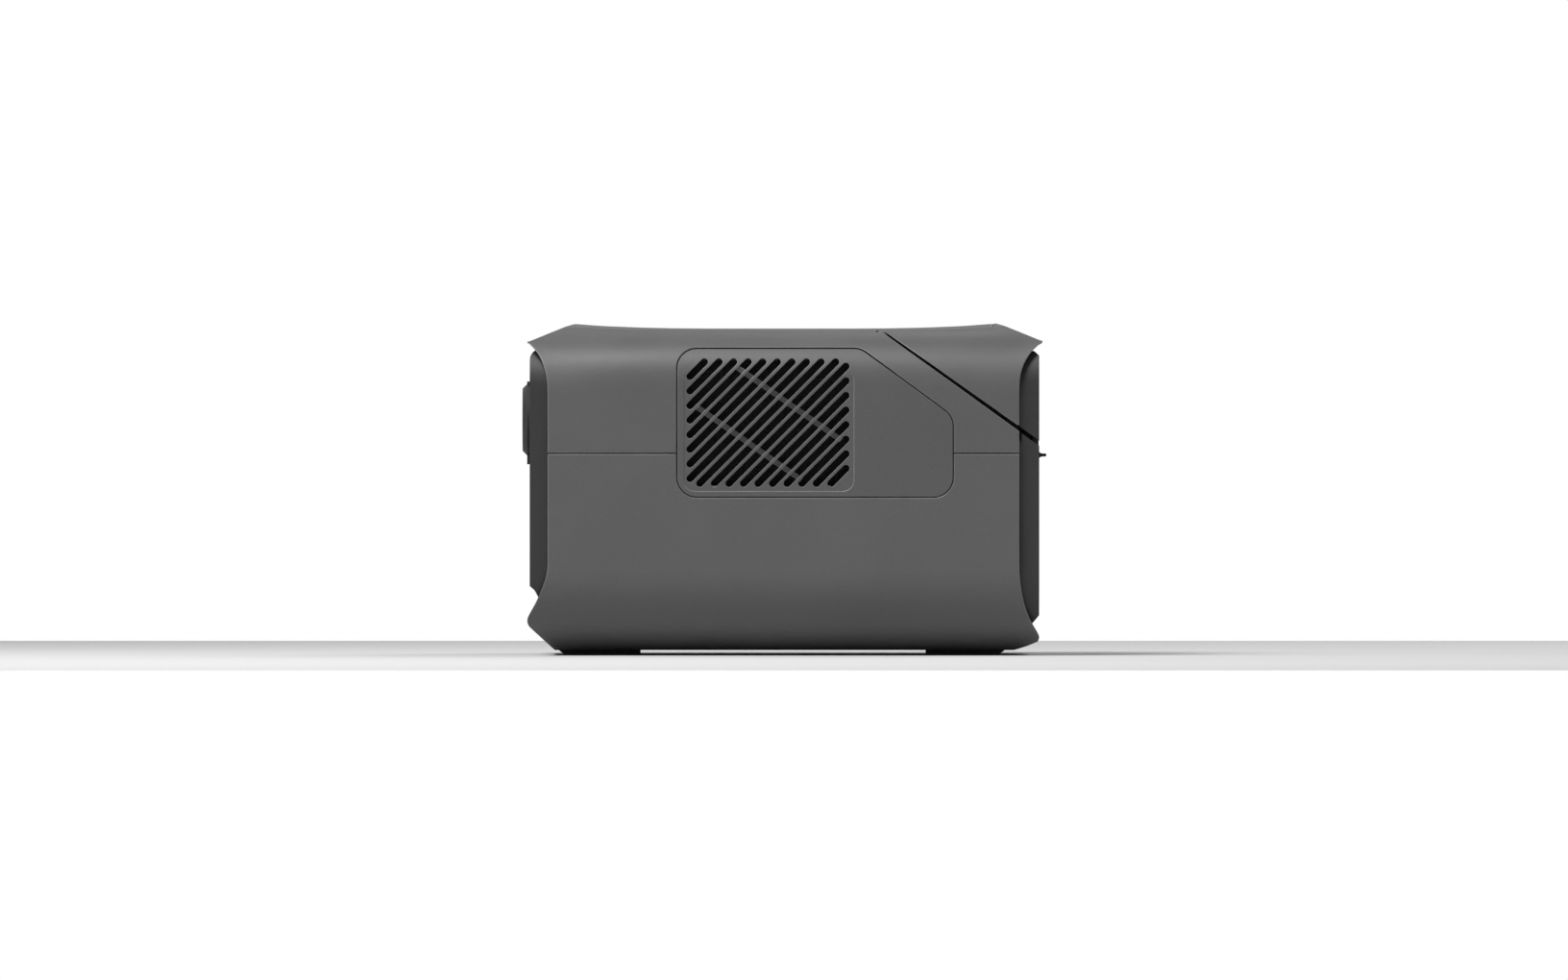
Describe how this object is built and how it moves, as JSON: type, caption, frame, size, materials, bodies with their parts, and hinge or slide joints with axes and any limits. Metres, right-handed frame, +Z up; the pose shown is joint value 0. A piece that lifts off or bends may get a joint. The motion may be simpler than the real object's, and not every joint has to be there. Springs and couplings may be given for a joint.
{
  "type": "portable power station",
  "caption": "Portable camping power station with a fold-up carrying handle, slotted side vents, front sockets and a rear inlet.",
  "frame": {"origin": "middle of the overall box, on the plane the feet stand on", "axes": "+X to the right seen from the front, -Y towards the front panel, +Z up"},
  "size_m": [0.235, 0.2314, 0.146],
  "materials": {
    "shell_grey": "matte",
    "cover_grey": "matte",
    "foam_black": "matte",
    "rubber_dark": "matte",
    "steel": "satin",
    "panel_black": "matte",
    "screen_glass": "gloss",
    "screen_module": "gloss",
    "outlet_black": "satin",
    "port_metal": "satin",
    "brass_contact": "satin",
    "lens_clear": "satin",
    "board_green": "satin",
    "cell_blue": "satin",
    "tray_black": "matte",
    "nickel": "satin",
    "sink_aluminium": "satin",
    "core_iron": "matte",
    "capacitor_dark": "satin",
    "button_grey": "satin"
  },
  "bodies": {
    "case": {"upper_shell": "shell_grey", "lower_shell": "shell_grey", "vent_cover_right": "cover_grey", "vent_cover_left": "cover_grey", "dust_filter_right": "foam_black", "dust_filter_left": "foam_black", "foot_front_left": "rubber_dark", "foot_front_right": "rubber_dark", "foot_rear_left": "rubber_dark", "foot_rear_right": "rubber_dark", "case_screws": "steel", "small_screws": "steel", "handle_pins": "steel", "front_panel": "panel_black", "display_window": "screen_glass", "display_module": "screen_module", "ac_outlet_1": "outlet_black", "ac_outlet_2": "outlet_black", "ac_outlet_3": "outlet_black", "usb_a_port_1": "port_metal", "usb_a_port_2": "port_metal", "usb_c_port": "port_metal", "car_socket_shell": "port_metal", "car_socket_contact": "brass_contact", "cap_anchor": "rubber_dark", "light_lens": "lens_clear", "light_board": "board_green", "port_board": "board_green", "rear_panel": "panel_black", "dc_input_port": "outlet_black", "ac_inlet": "outlet_black", "ac_inlet_pins": "brass_contact", "rear_cover_plate": "panel_black", "expansion_port": "outlet_black", "fan_frame_right": "outlet_black", "fan_frame_left": "outlet_black", "cell_row_1": "cell_blue", "cell_row_2": "cell_blue", "cell_row_3": "cell_blue", "cell_row_4": "cell_blue", "cell_tray_lower": "tray_black", "cell_tray_upper": "tray_black", "bus_bars": "nickel", "bms_board": "board_green", "inverter_board": "board_green", "heat_sink": "sink_aluminium", "transformer": "core_iron", "capacitors": "capacitor_dark"},
    "handle": {"handle_frame": "shell_grey", "handle_grip": "rubber_dark", "handle_inserts": "panel_black"},
    "socket_cap": {"car_socket_cap": "rubber_dark"},
    "port_flap": {"rear_flap": "rubber_dark"},
    "power_key": {"power_button": "button_grey"},
    "light_key": {"light_button": "button_grey"},
    "dc_key": {"dc_button": "button_grey"},
    "ac_key": {"ac_button": "button_grey"},
    "reset_key": {"reset_button": "button_grey"},
    "fan_right": {"fan_rotor_right": "outlet_black"},
    "fan_left": {"fan_rotor_left": "outlet_black"}
  },
  "joints": [
    {"name": "handle_hinge", "type": "hinge", "parent": "case", "child": "handle", "pos_m": [0, 0.0436, 0.1406], "axis": [1, 0, 0], "range_deg": [0, 90]},
    {"name": "cap_hinge", "type": "hinge", "parent": "case", "child": "socket_cap", "pos_m": [-0.078, -0.1115, 0.1201], "axis": [-1, 0, 0], "range_deg": [0, 100]},
    {"name": "flap_hinge", "type": "hinge", "parent": "case", "child": "port_flap", "pos_m": [0.042, 0.11155, 0.104], "axis": [1, 0, 0], "range_deg": [0, 100]},
    {"name": "power_press", "type": "slide", "parent": "case", "child": "power_key", "axis": [0, 1, 0], "range_m": [0, 0.0012], "stiffness_N_per_m": 400, "springref_m": -0.001},
    {"name": "light_press", "type": "slide", "parent": "case", "child": "light_key", "axis": [0, 1, 0], "range_m": [0, 0.0012], "stiffness_N_per_m": 400, "springref_m": -0.001},
    {"name": "dc_press", "type": "slide", "parent": "case", "child": "dc_key", "axis": [0, 1, 0], "range_m": [0, 0.0012], "stiffness_N_per_m": 400, "springref_m": -0.001},
    {"name": "ac_press", "type": "slide", "parent": "case", "child": "ac_key", "axis": [0, 1, 0], "range_m": [0, 0.0012], "stiffness_N_per_m": 400, "springref_m": -0.001},
    {"name": "reset_press", "type": "slide", "parent": "case", "child": "reset_key", "axis": [0, -1, 0], "range_m": [0, 0.0012], "stiffness_N_per_m": 400, "springref_m": -0.001},
    {"name": "fan_right_spin", "type": "hinge", "parent": "case", "child": "fan_right", "pos_m": [0.1, -0.006, 0.101], "axis": [1, 0, 0], "continuous": true},
    {"name": "fan_left_spin", "type": "hinge", "parent": "case", "child": "fan_left", "pos_m": [-0.1, -0.006, 0.101], "axis": [-1, 0, 0], "continuous": true}
  ]
}
